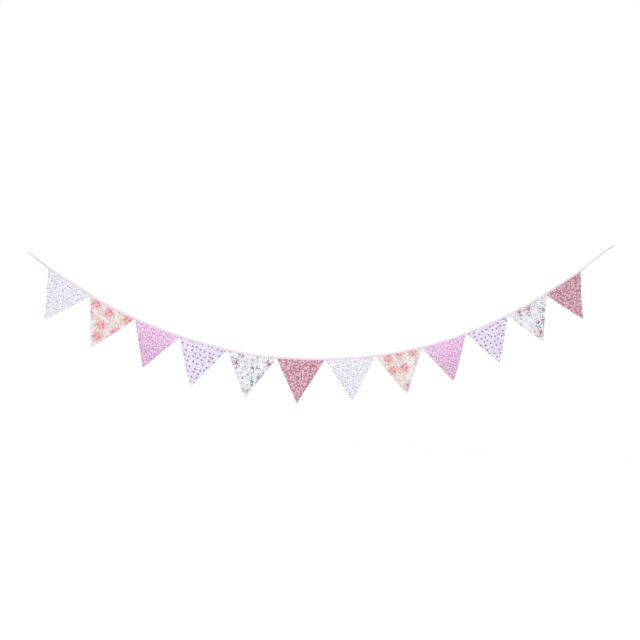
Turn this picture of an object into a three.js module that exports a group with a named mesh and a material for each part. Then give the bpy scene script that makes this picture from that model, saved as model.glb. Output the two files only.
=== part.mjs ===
import * as THREE from 'three';

// Fabric bunting: one folded cotton tape with twelve double triangular flags sewn into it.
// Sizes are in millimetres and angles in degrees. X runs along the span to the right,
// Y away from the viewer and Z up. The origin is the middle of the left tie's free end.

// The tape hangs between its two ends in a catenary, and its free ends are the ties.
const TAPE_LENGTH = 2575;
const CATENARY = 1634;
const LOW_POINT = 1240;
const LEFT_TIE = 98;
const RIGHT_TIE = 176;
const LEFT_END_LIFT = 3.8;
const RIGHT_END_LIFT = -5.5;

// The tape's section is an upside-down U, open over the flags and pressed shut along the ties.
const TAPE_DEPTH = 8;
const TAPE_WALL = 1;
const FOLD_ROUND = 1.2;
const FLAT_OF_FOLD = 0.55;
const OPEN_SLOT = 2;
const SHUT_SLOT = 0.4;
const SLOT_CLOSES_OVER = 30;
const TAPE_STEP = 20;

// How far each tie has turned about its own line, at distances along the tape.
const TIE_TURNS = [
  { along: 0, turn: 78 },
  { along: 40, turn: 66 },
  { along: LEFT_TIE - 18, turn: 46 },
  { along: LEFT_TIE, turn: 0 },
  { along: TAPE_LENGTH - RIGHT_TIE, turn: 0 },
  { along: TAPE_LENGTH - RIGHT_TIE + 18, turn: 54 },
  { along: TAPE_LENGTH - 80, turn: 48 },
  { along: TAPE_LENGTH, turn: 36 },
];

// The right tie's height over the even curve, which rises where the tie leaves the last flag.
const RIGHT_TIE_LIFTS = [
  { middle: TAPE_LENGTH - RIGHT_TIE, lift: -0.6 },
  { middle: TAPE_LENGTH - 120, lift: 0.7 },
  { middle: TAPE_LENGTH - 50, lift: 0.2 },
];

// The tape's slow wander towards and away from the viewer.
const WANDERS = [
  { size: 4, length: 1490 },
  { size: 1.6, length: 613 },
];

// A flag is two layers of printed cotton sewn together, turned out and pressed.
const FLAG_THICKNESS = 1.34;
const FLAG_TOP = TAPE_WALL + 1;
const FLAG_FREE = TAPE_DEPTH + 0.6;
const FLAG_GAP = 0.8;
const FLAG_ROWS = 9;
const TIP_ROWS = 3;
const FLAG_COLUMNS = 8;
const LAST_TIP_ANGLE = 15;
const TOP_FOLLOWS_TO = 110;
const FLICK_SHARPNESS = 8;
const EDGE_CURL_SHARPNESS = 2.2;
const EDGE_CURL_HEIGHT = 0.8;
const SWING_SHARPNESS = 1.7;

// One row for each flag, from the left. middle is the distance along the tape to the flag's
// middle, width the spread of its slanting edges at the tape's fold, drop the distance from the
// fold to the sharp point that the edges aim at, and lean how far that point lies to the right
// of square. tip is the radius that rounds the point, and flick bends its last part to the right.
// lift is the tape's height there over the even curve, swing the tip's distance behind the tape,
// and left and right how far the free edges turn back.
const COLUMNS = [
  'middle', 'width', 'drop', 'lean', 'tip', 'flick', 'lift', 'swing', 'left', 'right', 'print',
];
const FLAGS = [
  [196.5, 199, 177, 5, 5, -4, 2.5, -5, 2, -3, 'marks'],
  [384, 197, 180, 2, 2.5, -7, -3.9, 4, -3, 5, 'roses'],
  [573, 192.5, 170, 4, 2.5, 0, -2.4, 7, 3, 2, 'ditsy'],
  [760, 199, 182, 0, 10, 3, -1.2, -3, -4, 3, 'dots'],
  [956.5, 203, 175.5, -2.5, 2.8, 4, -1.7, 2, 2, 6, 'sprigs'],
  [1151, 198, 181, -9.5, 2.6, -1, 3.3, -7, 4, -2, 'meadow'],
  [1349, 209, 175.5, 0, 3, 0, 3.3, 5, -2, 4, 'marks'],
  [1550, 201.5, 178, 3, 5, 1, 0.8, -2, 3, 6, 'roses'],
  [1743, 201, 175, -7, 7, -1, -1.8, 6, -3, 2, 'ditsy'],
  [1937.5, 198, 168, -15, 4.8, -3, -2.1, -6, 4, 3, 'dots'],
  [2124, 188.5, 170.5, -14.5, 2.8, 2, -1.2, 3, 6, -2, 'sprigs'],
  [2301, 186.5, 177.5, -15, 3, 4, 1.9, -4, 2, 5, 'meadow'],
].map((row) => Object.fromEntries(COLUMNS.map((name, column) => [name, row[column]])));

// The ground colour of each printed cotton, and the tape's.
const CLOTH_COLOURS = {
  tape: 0xecd6e2,
  marks: 0xeeeef8,
  roses: 0xf3e6de,
  ditsy: 0xe2b8da,
  dots: 0xeae4f2,
  sprigs: 0xeef0f6,
  meadow: 0xcd8cae,
};
const CLOTH_ROUGHNESS = 0.9;

const radians = THREE.MathUtils.degToRad;

// An eased value between the rows of a table, by its columns key and value.
function tableValue(rows, key, value, at) {
  const last = rows.length - 1;
  if (at <= rows[0][key]) return rows[0][value];
  if (at >= rows[last][key]) return rows[last][value];
  const next = rows.findIndex((row) => row[key] > at);
  const before = rows[next - 1];
  const after = rows[next];
  const part = THREE.MathUtils.smoothstep(at, before[key], after[key]);
  return THREE.MathUtils.lerp(before[value], after[value], part);
}

const LIFTS = [
  { middle: 0, lift: LEFT_END_LIFT },
  ...FLAGS,
  ...RIGHT_TIE_LIFTS,
  { middle: TAPE_LENGTH, lift: RIGHT_END_LIFT },
];

// The fold's place in the hanging plane at a distance along the tape, from its lowest point.
function hangingCurve(along) {
  const x = CATENARY * Math.asinh((along - LOW_POINT) / CATENARY);
  const z = CATENARY * (Math.cosh(x / CATENARY) - 1) + tableValue(LIFTS, 'middle', 'lift', along);
  return new THREE.Vector3(x, 0, z);
}

// The tape's direction in the hanging plane, and the direction across it that points down.
function tapeFrame(along) {
  const reach = TAPE_STEP / 2;
  const tangent = hangingCurve(along + reach).sub(hangingCurve(along - reach)).normalize();
  return { tangent, down: new THREE.Vector3(tangent.z, 0, -tangent.x) };
}

// How far below the fold line the section's middle is, where the tape is turned.
function middleDepth(turn) {
  return (TAPE_DEPTH / 2) * Math.cos(turn);
}

const END_TURN = radians(TIE_TURNS[0].turn);
const ORIGIN = hangingCurve(0).addScaledVector(tapeFrame(0).down, middleDepth(END_TURN));

// The tape's fold line, from the origin, with its wander.
function foldLine(along) {
  const place = hangingCurve(along).sub(ORIGIN);
  for (const wave of WANDERS) {
    place.y += wave.size * Math.sin((2 * Math.PI * along) / wave.length);
  }
  return place;
}

function closedMesh(name, positions, triangles, colour) {
  const geometry = new THREE.BufferGeometry();
  const numbers = positions.flatMap((place) => place.toArray());
  geometry.setAttribute('position', new THREE.Float32BufferAttribute(numbers, 3));
  geometry.setIndex(triangles);
  geometry.computeVertexNormals();
  const finish = { color: colour, roughness: CLOTH_ROUGHNESS, metalness: 0 };
  const mesh = new THREE.Mesh(geometry, new THREE.MeshStandardMaterial(finish));
  mesh.name = name;
  return mesh;
}

// The section's outline as [back, down] pairs, for a slot of the given width.
function tapeSection(slot) {
  const inner = slot / 2;
  const outer = inner + TAPE_WALL;
  const crown = outer * FLAT_OF_FOLD;
  return [
    [outer, TAPE_DEPTH],
    [outer, FOLD_ROUND],
    [crown, 0],
    [-crown, 0],
    [-outer, FOLD_ROUND],
    [-outer, TAPE_DEPTH],
    [-inner, TAPE_DEPTH],
    [-inner, TAPE_WALL],
    [inner, TAPE_WALL],
    [inner, TAPE_DEPTH],
  ];
}

// How far the slot is open: fully over the flags, and shut a little way along each tie.
function slotWidth(along) {
  const leftShut = THREE.MathUtils.smoothstep(along, LEFT_TIE - SLOT_CLOSES_OVER, LEFT_TIE);
  const rightOpen = TAPE_LENGTH - RIGHT_TIE;
  const rightShut = 1 - THREE.MathUtils.smoothstep(along, rightOpen, rightOpen + SLOT_CLOSES_OVER);
  return THREE.MathUtils.lerp(SHUT_SLOT, OPEN_SLOT, Math.min(leftShut, rightShut));
}

// Where the tape's rings stand: evenly along each tie and along the stretch that holds the flags.
function ringPlaces() {
  const ends = [0, LEFT_TIE, TAPE_LENGTH - RIGHT_TIE, TAPE_LENGTH];
  const places = [0];
  for (let stretch = 1; stretch < ends.length; stretch++) {
    const from = ends[stretch - 1];
    const to = ends[stretch];
    const steps = Math.ceil((to - from) / TAPE_STEP);
    for (let step = 1; step <= steps; step++) {
      places.push(THREE.MathUtils.lerp(from, to, step / steps));
    }
  }
  return places;
}

// The tape is swept ring by ring. Each ring is turned about the middle of the tape's depth.
function tape() {
  const rings = ringPlaces();
  const steps = rings.length - 1;
  const positions = [];
  const triangles = [];
  const around = tapeSection(OPEN_SLOT).length;
  for (const along of rings) {
    const { tangent, down } = tapeFrame(along);
    const turn = radians(tableValue(TIE_TURNS, 'along', 'turn', along));
    const fold = foldLine(along);
    const pivot = fold.clone().addScaledVector(down, middleDepth(turn));
    for (const [back, depth] of tapeSection(slotWidth(along))) {
      const spoke = new THREE.Vector3(0, back, 0).addScaledVector(down, depth - TAPE_DEPTH / 2);
      positions.push(spoke.applyAxisAngle(tangent, turn).add(pivot));
    }
  }
  for (let step = 0; step < steps; step++) {
    for (let i = 0; i < around; i++) {
      const a = step * around + i;
      const b = step * around + ((i + 1) % around);
      triangles.push(a, b, a + around, b, b + around, a + around);
    }
  }
  const outline = tapeSection(OPEN_SLOT).map(([back, depth]) => new THREE.Vector2(back, depth));
  const last = steps * around;
  for (const [a, b, c] of THREE.ShapeUtils.triangulateShape(outline, [])) {
    triangles.push(a, b, c);
    triangles.push(last + a, last + c, last + b);
  }
  return closedMesh('tape', positions, triangles, CLOTH_COLOURS.tape);
}

// The round tip: the angle between its axis and a slanting edge, the depth of its centre and
// the depth at which the straight edges end.
function roundTip(flag) {
  const halfAngle = Math.atan(flag.width / 2 / flag.drop);
  const centre = flag.drop - flag.tip / Math.sin(halfAngle);
  return { halfAngle, centre, start: centre + flag.tip * Math.sin(halfAngle) };
}

// The flag's half width at a depth below the fold: a straight edge that ends in the round tip.
function halfWidth(flag, depth) {
  const { centre, start } = roundTip(flag);
  if (depth <= start) return (flag.width / 2) * (1 - depth / flag.drop);
  return Math.sqrt(Math.max(0, flag.tip ** 2 - (depth - centre) ** 2));
}

// Depths of the flag's rows: the sewn top, just under the tape, evenly down, then round the tip.
function rowDepths(flag) {
  const { halfAngle, centre, start } = roundTip(flag);
  const depths = [FLAG_TOP];
  for (let row = 0; row <= FLAG_ROWS; row++) {
    depths.push(THREE.MathUtils.lerp(FLAG_FREE, start, row / FLAG_ROWS));
  }
  for (let row = 1; row <= TIP_ROWS; row++) {
    const angle = THREE.MathUtils.lerp(Math.PI / 2 - halfAngle, radians(LAST_TIP_ANGLE), row / TIP_ROWS);
    depths.push(centre + flag.tip * Math.cos(angle));
  }
  return depths;
}

// How far a point of the flag lies behind the tape: nothing inside it, more lower down, and
// the free edges turn back or forward in their own curves.
function behind(flag, side, depth) {
  const down = THREE.MathUtils.clamp((depth - FLAG_FREE) / (flag.drop - FLAG_FREE), 0, 1);
  const curl = side < 0 ? flag.left : flag.right;
  const edge = Math.abs(side) ** EDGE_CURL_SHARPNESS * Math.sin(Math.PI * down ** EDGE_CURL_HEIGHT);
  return flag.swing * down ** SWING_SHARPNESS + curl * edge;
}

// The flag hangs square to the chord of its stretch of tape, and its top follows the tape.
function flagPoint(flag, side, across, depth) {
  const reach = flag.width / 2;
  const left = foldLine(flag.middle - reach);
  const right = foldLine(flag.middle + reach);
  const chord = right.clone().sub(left);
  chord.y = 0;
  chord.normalize();
  const down = new THREE.Vector3(chord.z, 0, -chord.x);
  const middle = foldLine(flag.middle);
  const squareTop = middle.clone().addScaledVector(chord, across);
  const follows = 1 - THREE.MathUtils.smoothstep(depth, FLAG_FREE, TOP_FOLLOWS_TO);
  const place = squareTop.lerp(foldLine(flag.middle + across), follows);
  place.addScaledVector(down, depth);
  place.y += behind(flag, side, depth);
  return place;
}

// A flag's corners stop short of its neighbours inside the tape.
function cornerLimits(index) {
  const flag = FLAGS[index];
  const edgeOf = (row, side) => row.middle + (side * row.width) / 2;
  const before = FLAGS[index - 1];
  const after = FLAGS[index + 1];
  const left = before ? (edgeOf(before, 1) + edgeOf(flag, -1)) / 2 : LEFT_TIE;
  const right = after ? (edgeOf(flag, 1) + edgeOf(after, -1)) / 2 : TAPE_LENGTH - RIGHT_TIE;
  return { left: left + FLAG_GAP / 2 - flag.middle, right: right - FLAG_GAP / 2 - flag.middle };
}

// A flag is a grid of points on its front and another on its back, joined round the edge.
function flagMesh(flag, index) {
  const limits = cornerLimits(index);
  const depths = rowDepths(flag);
  const columns = FLAG_COLUMNS + 1;
  const layer = depths.length * columns;
  const front = [];
  for (const depth of depths) {
    const half = halfWidth(flag, depth);
    const down = depth / flag.drop;
    const shift = flag.lean * down + flag.flick * down ** FLICK_SHARPNESS;
    const left = Math.max(shift - half, limits.left);
    const right = Math.min(shift + half, limits.right);
    for (let column = 0; column < columns; column++) {
      const part = column / FLAG_COLUMNS;
      const place = flagPoint(flag, 2 * part - 1, THREE.MathUtils.lerp(left, right, part), depth);
      place.y -= FLAG_THICKNESS / 2;
      front.push(place);
    }
  }
  const thickness = new THREE.Vector3(0, FLAG_THICKNESS, 0);
  const positions = [...front, ...front.map((place) => place.clone().add(thickness))];
  const triangles = [];
  const quad = (a, b, c, d) => triangles.push(a, b, c, a, c, d);
  for (let row = 0; row < depths.length - 1; row++) {
    for (let column = 0; column < FLAG_COLUMNS; column++) {
      const a = row * columns + column;
      quad(a, a + columns, a + columns + 1, a + 1);
      quad(layer + a, layer + a + 1, layer + a + columns + 1, layer + a + columns);
    }
    const left = row * columns;
    const right = left + FLAG_COLUMNS;
    quad(left, layer + left, layer + left + columns, left + columns);
    quad(right, right + columns, layer + right + columns, layer + right);
  }
  const bottom = (depths.length - 1) * columns;
  for (let column = 0; column < FLAG_COLUMNS; column++) {
    quad(column, column + 1, layer + column + 1, layer + column);
    quad(bottom + column, layer + bottom + column, layer + bottom + column + 1, bottom + column + 1);
  }
  const name = `flag_${String(index + 1).padStart(2, '0')}`;
  return closedMesh(name, positions, triangles, CLOTH_COLOURS[flag.print]);
}

const bunting = new THREE.Group();
bunting.name = 'bunting';
bunting.add(tape());
FLAGS.forEach((flag, index) => bunting.add(flagMesh(flag, index)));

export default bunting;
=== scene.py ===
import math

import bpy
import numpy as np
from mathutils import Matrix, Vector


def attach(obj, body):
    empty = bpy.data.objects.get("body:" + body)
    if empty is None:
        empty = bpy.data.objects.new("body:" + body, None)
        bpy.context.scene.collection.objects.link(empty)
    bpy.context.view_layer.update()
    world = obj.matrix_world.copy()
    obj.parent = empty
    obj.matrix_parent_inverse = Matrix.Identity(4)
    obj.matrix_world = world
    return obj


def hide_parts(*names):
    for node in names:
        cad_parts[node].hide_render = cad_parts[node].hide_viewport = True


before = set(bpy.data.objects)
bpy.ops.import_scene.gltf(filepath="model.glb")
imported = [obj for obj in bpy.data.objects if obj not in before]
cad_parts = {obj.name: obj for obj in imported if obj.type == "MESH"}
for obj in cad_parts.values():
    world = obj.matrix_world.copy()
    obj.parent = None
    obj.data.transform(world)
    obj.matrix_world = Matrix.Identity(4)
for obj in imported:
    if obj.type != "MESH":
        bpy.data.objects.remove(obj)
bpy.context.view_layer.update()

# The object is worked out in millimetres, with X along the span, Y away from the viewer and Z up,
# and its meshes are written in metres.
MM = 0.001

# The tape's hanging curve, section and wander, and the turn of its two ties, as in the frame.
# Lifts and turns are rows of a place along the tape and a value, which is in degrees for the turns,
# and wanders are rows of a size and a wavelength.
TAPE_LENGTH = 2575
CATENARY = 1634
LOW_POINT = 1240
LEFT_TIE = 98
RIGHT_TIE = 176
RIGHT_TIE_START = TAPE_LENGTH - RIGHT_TIE
LEFT_END_LIFT = 3.8
RIGHT_END_LIFT = -5.5
TAPE_DEPTH = 8
FRAME_REACH = 10
RIGHT_TIE_LIFTS = ((RIGHT_TIE_START, -0.6), (TAPE_LENGTH - 120, 0.7), (TAPE_LENGTH - 50, 0.2))
WANDERS = ((4, 1490), (1.6, 613))
TIE_TURNS = np.array([
    (0, 78),
    (40, 66),
    (LEFT_TIE - 18, 46),
    (LEFT_TIE, 0),
    (RIGHT_TIE_START, 0),
    (RIGHT_TIE_START + 18, 54),
    (TAPE_LENGTH - 80, 48),
    (TAPE_LENGTH, 36),
]).T

# One row for each flag, from the left, as in the frame. Middle is its place along the tape, lean and
# flick move its point sideways, tip is the point's radius, and lift raises its tape. Swing, left and
# right are how far its point and its sides come away from the viewer. cut_x and cut_y say where on
# its printed cotton the flag was cut, turn how far off the grain, and belly how far its layers part.
COLUMNS = (
    "middle", "width", "drop", "lean", "tip", "flick", "lift", "swing", "left", "right", "print",
    "cut_x", "cut_y", "turn", "belly",
)
FLAG_ROWS = (
    (196.5, 199, 177, 5, 5, -4, 2.5, -5, 2, -3, "marks", 31, 112, 4, 0.5),
    (384, 197, 180, 2, 2.5, -7, -3.9, 4, -3, 5, "roses", 402, 57, -7, 0.8),
    (573, 192.5, 170, 4, 2.5, 0, -2.4, 7, 3, 2, "ditsy", 118, 333, 9, 0.6),
    (760, 199, 182, 0, 10, 3, -1.2, -3, -4, 3, "dots", 247, 471, -3, 0.9),
    (956.5, 203, 175.5, -2.5, 2.8, 4, -1.7, 2, 2, 6, "sprigs", 513, 204, 6, 0.6),
    (1151, 198, 181, -9.5, 2.6, -1, 3.3, -7, 4, -2, "meadow", 64, 388, -8, 0.7),
    (1349, 209, 175.5, 0, 3, 0, 3.3, 5, -2, 4, "marks", 449, 290, 12, 0.7),
    (1550, 201.5, 178, 3, 5, 1, 0.8, -2, 3, 6, "roses", 165, 421, 5, 0.5),
    (1743, 201, 175, -7, 7, -1, -1.8, 6, -3, 2, "ditsy", 371, 142, -5, 0.8),
    (1937.5, 198, 168, -15, 4.8, -3, -2.1, -6, 4, 3, "dots", 92, 233, 8, 0.6),
    (2124, 188.5, 170.5, -14.5, 2.8, 2, -1.2, 3, 6, -2, "sprigs", 288, 360, -10, 0.9),
    (2301, 186.5, 177.5, -15, 3, 4, 1.9, -4, 2, 5, "meadow", 533, 81, 3, 0.5),
)
FLAGS = [dict(zip(COLUMNS, row)) for row in FLAG_ROWS]

# The flags' free shape: where a flag starts below the fold and where it comes free of the tape,
# the gap between neighbours, the depth down to which it follows the tape's curve, and how sharply
# its tip flicks, its sides curl and it swings out.
FLAG_TOP = 2
FLAG_FREE = 8.6
FLAG_GAP = 0.8
TOP_FOLLOWS_TO = 110
FLICK_SHARPNESS = 8
CURL_SHARPNESS = 2.2
CURL_FALL = 0.8
SWING_SHARPNESS = 1.7


def smooth(low, high, x):
    t = np.clip((np.asarray(x, float) - low) / (high - low), 0, 1)
    return t * t * (3 - 2 * t)


def eased(keys, values, at):
    """An eased value between the rows of a table."""
    at = np.asarray(at, float)
    row = np.clip(np.searchsorted(keys, at, side="right") - 1, 0, len(keys) - 2)
    part = smooth(0, 1, (at - keys[row]) / (keys[row + 1] - keys[row]))
    return values[row] + (values[row + 1] - values[row]) * part


LIFT_ROWS = [(0, LEFT_END_LIFT), *((flag["middle"], flag["lift"]) for flag in FLAGS)]
LIFT_ROWS += [*RIGHT_TIE_LIFTS, (TAPE_LENGTH, RIGHT_END_LIFT)]
LIFT_KEYS, LIFTS = np.array(LIFT_ROWS, float).T


def hanging_curve(along):
    """The fold's X and Z in the hanging plane, from the curve's lowest point."""
    x = CATENARY * np.arcsinh((np.asarray(along, float) - LOW_POINT) / CATENARY)
    z = CATENARY * (np.cosh(x / CATENARY) - 1) + eased(LIFT_KEYS, LIFTS, along)
    return np.stack([x, 0 * x, z], -1)


def tape_down(along):
    """The direction across the tape that points down."""
    step = hanging_curve(along + FRAME_REACH) - hanging_curve(along - FRAME_REACH)
    tangent = step / np.linalg.norm(step, axis=-1, keepdims=True)
    return np.stack([tangent[..., 2], 0 * tangent[..., 0], -tangent[..., 0]], -1)


def middle_depth(turn):
    """How far below the fold line the section's middle is, where the tape is turned."""
    return TAPE_DEPTH / 2 * np.cos(turn)


END_TURN = math.radians(TIE_TURNS[1][0])
ORIGIN = hanging_curve(0.0) + tape_down(np.float64(0)) * middle_depth(END_TURN)


def fold_line(along):
    """Where the tape's fold runs, from the middle of the left tie's end."""
    place = hanging_curve(along) - ORIGIN
    for size, length in WANDERS:
        place[..., 1] += size * np.sin(2 * math.pi * np.asarray(along, float) / length)
    return place


def tape_point(along, back, depth):
    """A point of the tape's section, turned with the tie about the middle of the depth."""
    along, back, depth = np.broadcast_arrays(np.asarray(along, float), back, depth)
    down = tape_down(along)
    turn = np.radians(eased(TIE_TURNS[0], TIE_TURNS[1], along))
    below = depth - TAPE_DEPTH / 2
    place = fold_line(along) + down * middle_depth(turn)[..., None]
    place += down * (below * np.cos(turn) - back * np.sin(turn))[..., None]
    place[..., 1] += back * np.cos(turn) + below * np.sin(turn)
    return place


def new_piece(name, points, faces, slot, uvs=None, finish=None):
    """A smooth mesh piece from points in millimetres, with named UVs for each face corner."""
    mesh = bpy.data.meshes.new(name)
    mesh.from_pydata((np.asarray(points) * MM).tolist(), [], faces)
    mesh.polygons.foreach_set("use_smooth", [True] * len(mesh.polygons))
    for layer_name, corners in (uvs or {}).items():
        layer = mesh.uv_layers.new(name=layer_name)
        layer.data.foreach_set("uv", np.asarray(corners, np.float32).ravel())
    mesh.validate()
    piece = bpy.data.objects.new(name, mesh)
    bpy.context.scene.collection.objects.link(piece)
    piece.data.materials.append(finish or MATERIALS[slot])
    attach(piece, "root")
    return piece


# Materials. A print is a tree of nodes over the cloth's flat coordinates, in millimetres.

# The studio lights a white cloth a little over full, so printed tones are held down to match.
TONE_LEVEL = 0.8
UV_UNIT = 100


def tone(red, green, blue, level=TONE_LEVEL):
    """A screen tone, 0 to 255, as the linear colour of the lit cloth."""
    channels = []
    for part in (red, green, blue):
        value = part / 255
        linear = value / 12.92 if value <= 0.04045 else ((value + 0.055) / 1.055) ** 2.4
        channels.append(linear * level)
    return (*channels, 1.0)


class Net:
    """Adds nodes to one material's tree."""

    def __init__(self, name):
        self.material = bpy.data.materials.new(name)
        self.material.use_nodes = True
        self.tree = self.material.node_tree
        self.tree.nodes.clear()

    def add(self, kind, inputs=(), out=0, **settings):
        node = self.tree.nodes.new(kind)
        for key, value in settings.items():
            setattr(node, key, value)
        for key, value in dict(inputs).items():
            if isinstance(value, bpy.types.NodeSocket):
                self.tree.links.new(value, node.inputs[key])
            else:
                node.inputs[key].default_value = value
        return node.outputs[out]

    def finish(self, surface):
        """Ends the tree, and gives its material."""
        node = self.tree.nodes.new("ShaderNodeOutputMaterial")
        self.tree.links.new(surface, node.inputs["Surface"])
        return self.material

    def math(self, operation, *values):
        return self.add("ShaderNodeMath", enumerate(values), operation=operation)

    def vector(self, operation, a, b=(0, 0, 0), c=(0, 0, 0), out="Vector"):
        return self.add("ShaderNodeVectorMath", {0: a, 1: b, 2: c}, out=out, operation=operation)

    def scaled(self, vector, by):
        return self.add("ShaderNodeVectorMath", {0: vector, "Scale": by}, operation="SCALE")

    def mix(self, factor, a, b):
        inputs = {0: factor, 6: a, 7: b}
        return self.add("ShaderNodeMix", inputs, out=2, data_type="RGBA")

    def ramp(self, value, start, end, low=0.0, high=1.0):
        inputs = {"Value": value, "From Min": start, "From Max": end, "To Min": low, "To Max": high}
        return self.add("ShaderNodeMapRange", inputs, interpolation_type="SMOOTHSTEP")

    def noise(self, where, size, detail=2.0, out="Fac"):
        inputs = {"Vector": where, "Scale": 1 / size, "Detail": detail}
        return self.add("ShaderNodeTexNoise", inputs, out=out, noise_dimensions="2D")


# Motif shapes. Each is a mask over a cell's own coordinates, in millimetres, with a soft rim. Dips
# are how far a flower's outline falls back between petals, as a share of its radius.
RIM = 0.35
PETAL_DIP = 0.2
ROSE_DIP = 0.1
ROSE_PETALS = 5.0

# How often a rose winds from its middle to its rim, the part of a turn over which its tone goes from
# dark to light, and the shares of its radius between which its dark core ends.
ROSE_TURNS = 1.9
ROSE_SHADE = (0.2, 0.65)
ROSE_CORE = (0.15, 0.45)


def disc(net, local, x, y, radius):
    """A round dot."""
    away = net.vector("DISTANCE", local, (x, y, 0), out="Value")
    return net.ramp(away, radius + RIM, radius - RIM)


def leaf(net, local, x, y, length, width, turn):
    """A pointed leaf: what two large circles share."""
    half = length / 2
    circle = (half * half + (width / 2) ** 2) / width
    shift = circle - width / 2
    angle = math.radians(turn + 90)
    across = (math.cos(angle) * shift, math.sin(angle) * shift)
    one = net.vector("DISTANCE", local, (x + across[0], y + across[1], 0), out="Value")
    other = net.vector("DISTANCE", local, (x - across[0], y - across[1], 0), out="Value")
    return net.ramp(net.math("MAXIMUM", one, other), circle + RIM, circle - RIM)


def polar(net, local, x, y):
    """Distance from a flower's middle, and the angle round it."""
    arm = net.vector("SUBTRACT", local, (x, y, 0))
    away = net.vector("LENGTH", arm, out="Value")
    parts = net.add("ShaderNodeSeparateXYZ", {0: arm}, out=0)
    sideways = parts.node.outputs[1]
    return away, net.math("ARCTAN2", sideways, parts)


def blossom(net, local, x, y, radius, petals):
    """A flower of round petals."""
    away, angle = polar(net, local, x, y)
    wave = net.math("COSINE", net.math("MULTIPLY", angle, float(petals)))
    reach = net.math("MULTIPLY_ADD", wave, radius * PETAL_DIP, radius * (1 - PETAL_DIP))
    return net.ramp(net.math("SUBTRACT", away, reach), RIM, -RIM)


def rose(net, local, x, y, radius, dark, light):
    """A rose's ragged mask, and its tone wound from the core outwards."""
    away, angle = polar(net, local, x, y)
    wave = net.math("COSINE", net.math("MULTIPLY", angle, ROSE_PETALS))
    reach = net.math("MULTIPLY_ADD", wave, radius * ROSE_DIP, radius * (1 - ROSE_DIP))
    mask = net.ramp(net.math("SUBTRACT", away, reach), RIM, -RIM)
    turns = net.math("MULTIPLY", away, ROSE_TURNS / radius)
    wound = net.math("FRACT", net.math("MULTIPLY_ADD", angle, 1 / (2 * math.pi), turns))
    core = net.ramp(away, *(radius * share for share in ROSE_CORE))
    return mask, net.mix(net.math("MULTIPLY", net.ramp(wound, *ROSE_SHADE), core), dark, light)


def sprig(net, paint, local, here, elements):
    """Paints a charted group of motifs, where here is 1 or everywhere.

    A row is a motif's kind, its x and y in the cell, its radius or a leaf's length, its extra, which
    is a leaf's width or the number of petals, a leaf's turn in degrees, and its colours.
    """
    for kind, x, y, size, extra, turn, colours in elements:
        if kind == "rose":
            mask, colour = rose(net, local, x, y, size, tone(*colours[0]), tone(*colours[1]))
        else:
            colour = tone(*colours[0])
            if kind == "disc":
                mask = disc(net, local, x, y, size)
            elif kind == "leaf":
                mask = leaf(net, local, x, y, size, extra, turn)
            else:
                mask = blossom(net, local, x, y, size, extra)
        if here is not None:
            mask = net.math("MULTIPLY", mask, here)
        paint = net.mix(mask, paint, colour)
    return paint


# How far a scatter is shifted up for each unit that it is shifted across.
SHIFT_SLANT = 0.37


def cells(net, flat, size, jitter, shift):
    """Scatters cells over the cloth: turned coordinates about each middle, and a random number."""
    offset = (shift, shift * SHIFT_SLANT, 0)
    scaled = net.vector("MULTIPLY_ADD", flat, (1 / size, 1 / size, 0), offset)
    inputs = {"Vector": scaled, "Scale": 1.0, "Randomness": jitter}
    middle = net.add("ShaderNodeTexVoronoi", inputs, out="Position", voronoi_dimensions="2D")
    colour = middle.node.outputs["Color"]
    local = net.scaled(net.vector("SUBTRACT", scaled, middle), size)
    randoms = net.add("ShaderNodeSeparateColor", {0: colour}, out=0).node.outputs
    inputs = {"Vector": local, "Angle": net.math("MULTIPLY", randoms[0], 2 * math.pi)}
    return net.add("ShaderNodeVectorRotate", inputs, rotation_type="Z_AXIS"), randoms[1]


def chosen(net, random, low, high):
    """1 in the cells whose random number lies between low and high."""
    over = net.math("GREATER_THAN", random, low)
    under = net.math("LESS_THAN", random, high)
    return net.math("MULTIPLY", over, under)


def flat_coordinates(net):
    """The cloth's flat coordinates, in millimetres."""
    return net.scaled(net.add("ShaderNodeUVMap", uv_map="cloth"), UV_UNIT)


# How far the printed outlines waver, and over what length.
WAVER = 0.8
WAVER_LENGTH = 7


def wavered(net, flat):
    """The flat coordinates wavered by a soft noise."""
    drift = net.vector("SUBTRACT", net.noise(flat, WAVER_LENGTH, out="Color"), (0.5, 0.5, 0.5))
    drift = net.vector("MULTIPLY", drift, (2 * WAVER, 2 * WAVER, 0))
    return net.vector("ADD", flat, drift)


def ground(net, flat, patch, blend, one, other):
    """A ground that drifts from one tone to the other in soft patches, blended over a range."""
    return net.mix(net.ramp(net.noise(flat, patch), *blend), tone(*one), tone(*other))


# The weave: the pitch of its threads and the length of their slubs, in millimetres, how much both add to
# the tone and the height, and the finish of the cloth. The weave's part of the tone is painted shade,
# darker where a thread passes under.
THREAD = 0.45
SLUB_LENGTH = 14
SLUB_TONE = 0.10
WEAVE_PAINTED_SHADE = 0.05
WEAVE_SHADE_BASE = 0.97
SLUB_HEIGHT = 0.7
WEAVE_HEIGHT = 0.00006
SLUB_RANGE = (0.6, 1.4)
ROUGHNESS = (0.82, 0.94)
SHEEN = 0.15


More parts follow.
